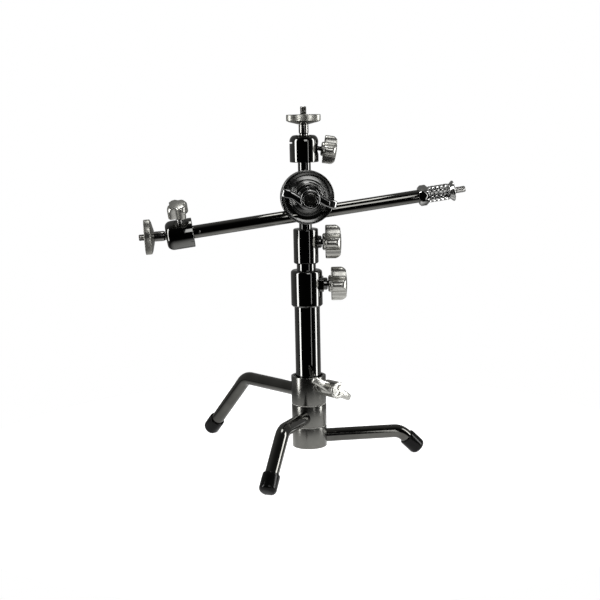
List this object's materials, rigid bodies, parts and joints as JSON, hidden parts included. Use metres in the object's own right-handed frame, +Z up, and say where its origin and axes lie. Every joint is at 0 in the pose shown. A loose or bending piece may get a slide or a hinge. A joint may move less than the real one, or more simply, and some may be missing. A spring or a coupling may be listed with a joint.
{
  "type": "c stand",
  "caption": "Table-top stand: three bent legs that swing on stacked rings, a telescopic column with lock knobs, a grip head with a cross arm, and small ball heads.",
  "frame": {"origin": "on the floor, under the column axis", "axes": "+Z up the column, -Y the front, where the grip head's handle faces, +X to the right"},
  "size_m": [0.3183, 0.247, 0.357],
  "materials": {
    "leg_chrome": "polished dark chrome, tube",
    "foot_vinyl": "gloss black vinyl cap",
    "ring_satin": "satin chrome, turned",
    "spindle_steel": "turned steel",
    "nylon": "plain nylon",
    "column_chrome": "polished dark chrome",
    "head_chrome": "polished dark chrome",
    "arm_chrome": "polished dark chrome, tube",
    "ball_head_chrome": "polished dark chrome",
    "screw_steel": "bright steel",
    "pad_brass": "plain",
    "knob_satin": "satin, die cast",
    "handle_chrome": "polished casting",
    "spigot_satin": "satin, diamond knurl",
    "platform_satin": "satin, serrated rim"
  },
  "bodies": {
    "base": {"upper_hub": "ring_satin", "upper_leg": "leg_chrome", "upper_foot_cap": "foot_vinyl", "spindle": "spindle_steel", "retaining_ring": "spindle_steel", "hub_washers": "nylon"},
    "middle_leg_swing_part": {"middle_hub": "ring_satin", "middle_leg": "leg_chrome", "middle_foot_cap": "foot_vinyl"},
    "lower_leg_swing_part": {"lower_hub": "ring_satin", "lower_leg": "leg_chrome", "lower_foot_cap": "foot_vinyl"},
    "base_lock_pad": {"base_pad": "pad_brass"},
    "base_lock_screw": {"base_screw": "screw_steel", "base_wing_knob": "knob_satin"},
    "column": {"lower_tube": "column_chrome", "lower_collar": "column_chrome"},
    "lower_lock_pad": {"lower_pad": "pad_brass"},
    "lower_lock_screw": {"lower_screw": "screw_steel", "lower_knob": "knob_satin"},
    "middle_column": {"middle_tube": "column_chrome", "middle_bush": "nylon", "upper_collar": "column_chrome"},
    "upper_lock_pad": {"upper_pad": "pad_brass"},
    "upper_lock_screw": {"upper_screw": "screw_steel", "upper_knob": "knob_satin"},
    "top_rod": {"rod": "column_chrome", "rod_bush": "nylon", "top_housing": "ball_head_chrome"},
    "head_liner": {"rod_liner": "nylon"},
    "grip_head": {"receiver": "head_chrome", "receiver_cap": "head_chrome", "clamp_bolt": "screw_steel", "bolt_end_screw": "screw_steel"},
    "rear_disc": {"rear_jaw": "head_chrome", "jaw_spring": "screw_steel"},
    "front_disc": {"front_jaw": "head_chrome", "thrust_washer": "screw_steel"},
    "handle": {"wing_handle": "handle_chrome"},
    "arm": {"arm_tube": "arm_chrome", "arm_plug": "screw_steel", "arm_pins": "screw_steel", "spigot": "spigot_satin", "spigot_stud": "screw_steel", "arm_housing": "ball_head_chrome"},
    "top_seat": {"top_ball_seat": "nylon"},
    "top_ball": {"top_ball_stem": "screw_steel"},
    "top_plate": {"top_platform": "platform_satin"},
    "top_lock_pad": {"top_brake_pad": "pad_brass"},
    "top_lock": {"top_lock_screw": "screw_steel", "top_lock_knob": "knob_satin"},
    "arm_seat": {"arm_ball_seat": "nylon"},
    "arm_ball": {"arm_ball_stem": "screw_steel"},
    "arm_plate": {"arm_platform": "platform_satin"},
    "arm_lock_pad": {"arm_brake_pad": "pad_brass"},
    "arm_lock": {"arm_lock_screw": "screw_steel", "arm_lock_knob": "knob_satin"}
  },
  "joints": [
    {"name": "middle_leg_swing", "type": "hinge", "parent": "base", "child": "middle_leg_swing_part", "pos_m": [0, 0, 0.0476], "axis": [0, 0, 1], "range_deg": [-110, 105]},
    {"name": "lower_leg_swing", "type": "hinge", "parent": "base", "child": "lower_leg_swing_part", "pos_m": [0, 0, 0.0268], "axis": [0, 0, 1], "range_deg": [-105, 112]},
    {"name": "column_lift", "type": "slide", "parent": "base", "child": "column", "axis": [0, 0, 1], "range_m": [0, 0.055]},
    {"name": "middle_column_slide", "type": "slide", "parent": "column", "child": "middle_column", "axis": [0, 0, 1], "range_m": [-0.006, 0.12]},
    {"name": "rod_slide", "type": "slide", "parent": "middle_column", "child": "top_rod", "axis": [0, 0, 1], "range_m": [0, 0.12]},
    {"name": "head_slide", "type": "slide", "parent": "top_rod", "child": "head_liner", "axis": [0, 0, 1], "range_m": [-0.003, 0.003]},
    {"name": "head_pan", "type": "hinge", "parent": "head_liner", "child": "grip_head", "pos_m": [0, 0, 0.2701], "axis": [0, 0, 1], "continuous": true},
    {"name": "arm_tilt", "type": "hinge", "parent": "grip_head", "child": "rear_disc", "pos_m": [0, 0, 0.2701], "axis": [0.0872, -0.9962, 0], "range_deg": [-16, 60]},
    {"name": "front_disc_slide", "type": "slide", "parent": "rear_disc", "child": "front_disc", "axis": [0.0872, -0.9962, 0], "range_m": [0, 0.00225], "deforming": ["jaw_spring"]},
    {"name": "handle_turn", "type": "hinge", "parent": "front_disc", "child": "handle", "pos_m": [0, 0, 0.2701], "axis": [0.0872, -0.9962, 0], "range_deg": [0, 540]},
    {"name": "arm_slide", "type": "slide", "parent": "rear_disc", "child": "arm", "axis": [0.9879, 0.0864, 0.1288], "range_m": [-0.08, 0.07]},
    {"name": "top_ball_pan", "type": "hinge", "parent": "top_rod", "child": "top_seat", "pos_m": [0, 0, 0.3199], "axis": [0, 0, 1], "continuous": true},
    {"name": "top_ball_tilt", "type": "hinge", "parent": "top_seat", "child": "top_ball", "pos_m": [0, 0, 0.3199], "axis": [1, 0, 0], "range_deg": [-20, 20]},
    {"name": "top_plate_spin", "type": "hinge", "parent": "top_ball", "child": "top_plate", "pos_m": [0, 0, 0.3199], "axis": [0, 0, 1], "continuous": true},
    {"name": "arm_ball_pan", "type": "hinge", "parent": "arm", "child": "arm_seat", "pos_m": [-0.12543, -0.03406, 0.23715], "axis": [-0.9879, -0.0864, -0.1288], "continuous": true},
    {"name": "arm_ball_tilt", "type": "hinge", "parent": "arm_seat", "child": "arm_ball", "pos_m": [-0.12543, -0.03406, 0.23715], "axis": [0.0872, -0.9962, 0], "range_deg": [-15.5, 24.5]},
    {"name": "arm_plate_spin", "type": "hinge", "parent": "arm_ball", "child": "arm_plate", "pos_m": [-0.12543, -0.03406, 0.23715], "axis": [-0.9949, -0.087, -0.0506], "continuous": true},
    {"name": "base_lock_pad_slide", "type": "slide", "parent": "base", "child": "base_lock_pad", "axis": [0.6293, -0.7771, 0], "range_m": [0, 0.0025]},
    {"name": "base_lock_knob_turn", "type": "hinge", "parent": "base_lock_pad", "child": "base_lock_screw", "pos_m": [0, 0, 0.0805], "axis": [0.6293, -0.7771, 0], "range_deg": [0, 720]},
    {"name": "lower_lock_pad_slide", "type": "slide", "parent": "column", "child": "lower_lock_pad", "axis": [1, 0, 0], "range_m": [0, 0.0025]},
    {"name": "lower_lock_knob_turn", "type": "hinge", "parent": "lower_lock_pad", "child": "lower_lock_screw", "pos_m": [0, 0, 0.1816], "axis": [1, 0, 0], "range_deg": [0, 720]},
    {"name": "upper_lock_pad_slide", "type": "slide", "parent": "middle_column", "child": "upper_lock_pad", "axis": [1, 0, 0], "range_m": [0, 0.0025]},
    {"name": "upper_lock_knob_turn", "type": "hinge", "parent": "upper_lock_pad", "child": "upper_lock_screw", "pos_m": [0, 0, 0.2237], "axis": [1, 0, 0], "range_deg": [0, 720]},
    {"name": "top_lock_pad_slide", "type": "slide", "parent": "top_rod", "child": "top_lock_pad", "axis": [0.989, 0, -0.1478], "range_m": [0, 0.0025]},
    {"name": "top_lock_knob_turn", "type": "hinge", "parent": "top_lock_pad", "child": "top_lock", "pos_m": [0, 0, 0.318], "axis": [0.989, 0, -0.1478], "range_deg": [0, 720]},
    {"name": "arm_lock_pad_slide", "type": "slide", "parent": "arm", "child": "arm_lock_pad", "axis": [-0.07, -0.4928, 0.8673], "range_m": [0, 0.0025]},
    {"name": "arm_lock_knob_turn", "type": "hinge", "parent": "arm_lock_pad", "child": "arm_lock", "pos_m": [-0.1197, -0.03356, 0.2379], "axis": [-0.07, -0.4928, 0.8673], "range_deg": [0, 720]}
  ],
  "couplings": [
    {"joint": "front_disc_slide", "follows": "handle_turn", "m_per_rad": 0.000238},
    {"joint": "base_lock_pad_slide", "follows": "base_lock_knob_turn", "m_per_rad": 0.000198},
    {"joint": "lower_lock_pad_slide", "follows": "lower_lock_knob_turn", "m_per_rad": 0.000198},
    {"joint": "upper_lock_pad_slide", "follows": "upper_lock_knob_turn", "m_per_rad": 0.000198},
    {"joint": "top_lock_pad_slide", "follows": "top_lock_knob_turn", "m_per_rad": 0.000198},
    {"joint": "arm_lock_pad_slide", "follows": "arm_lock_knob_turn", "m_per_rad": 0.000198}
  ]
}
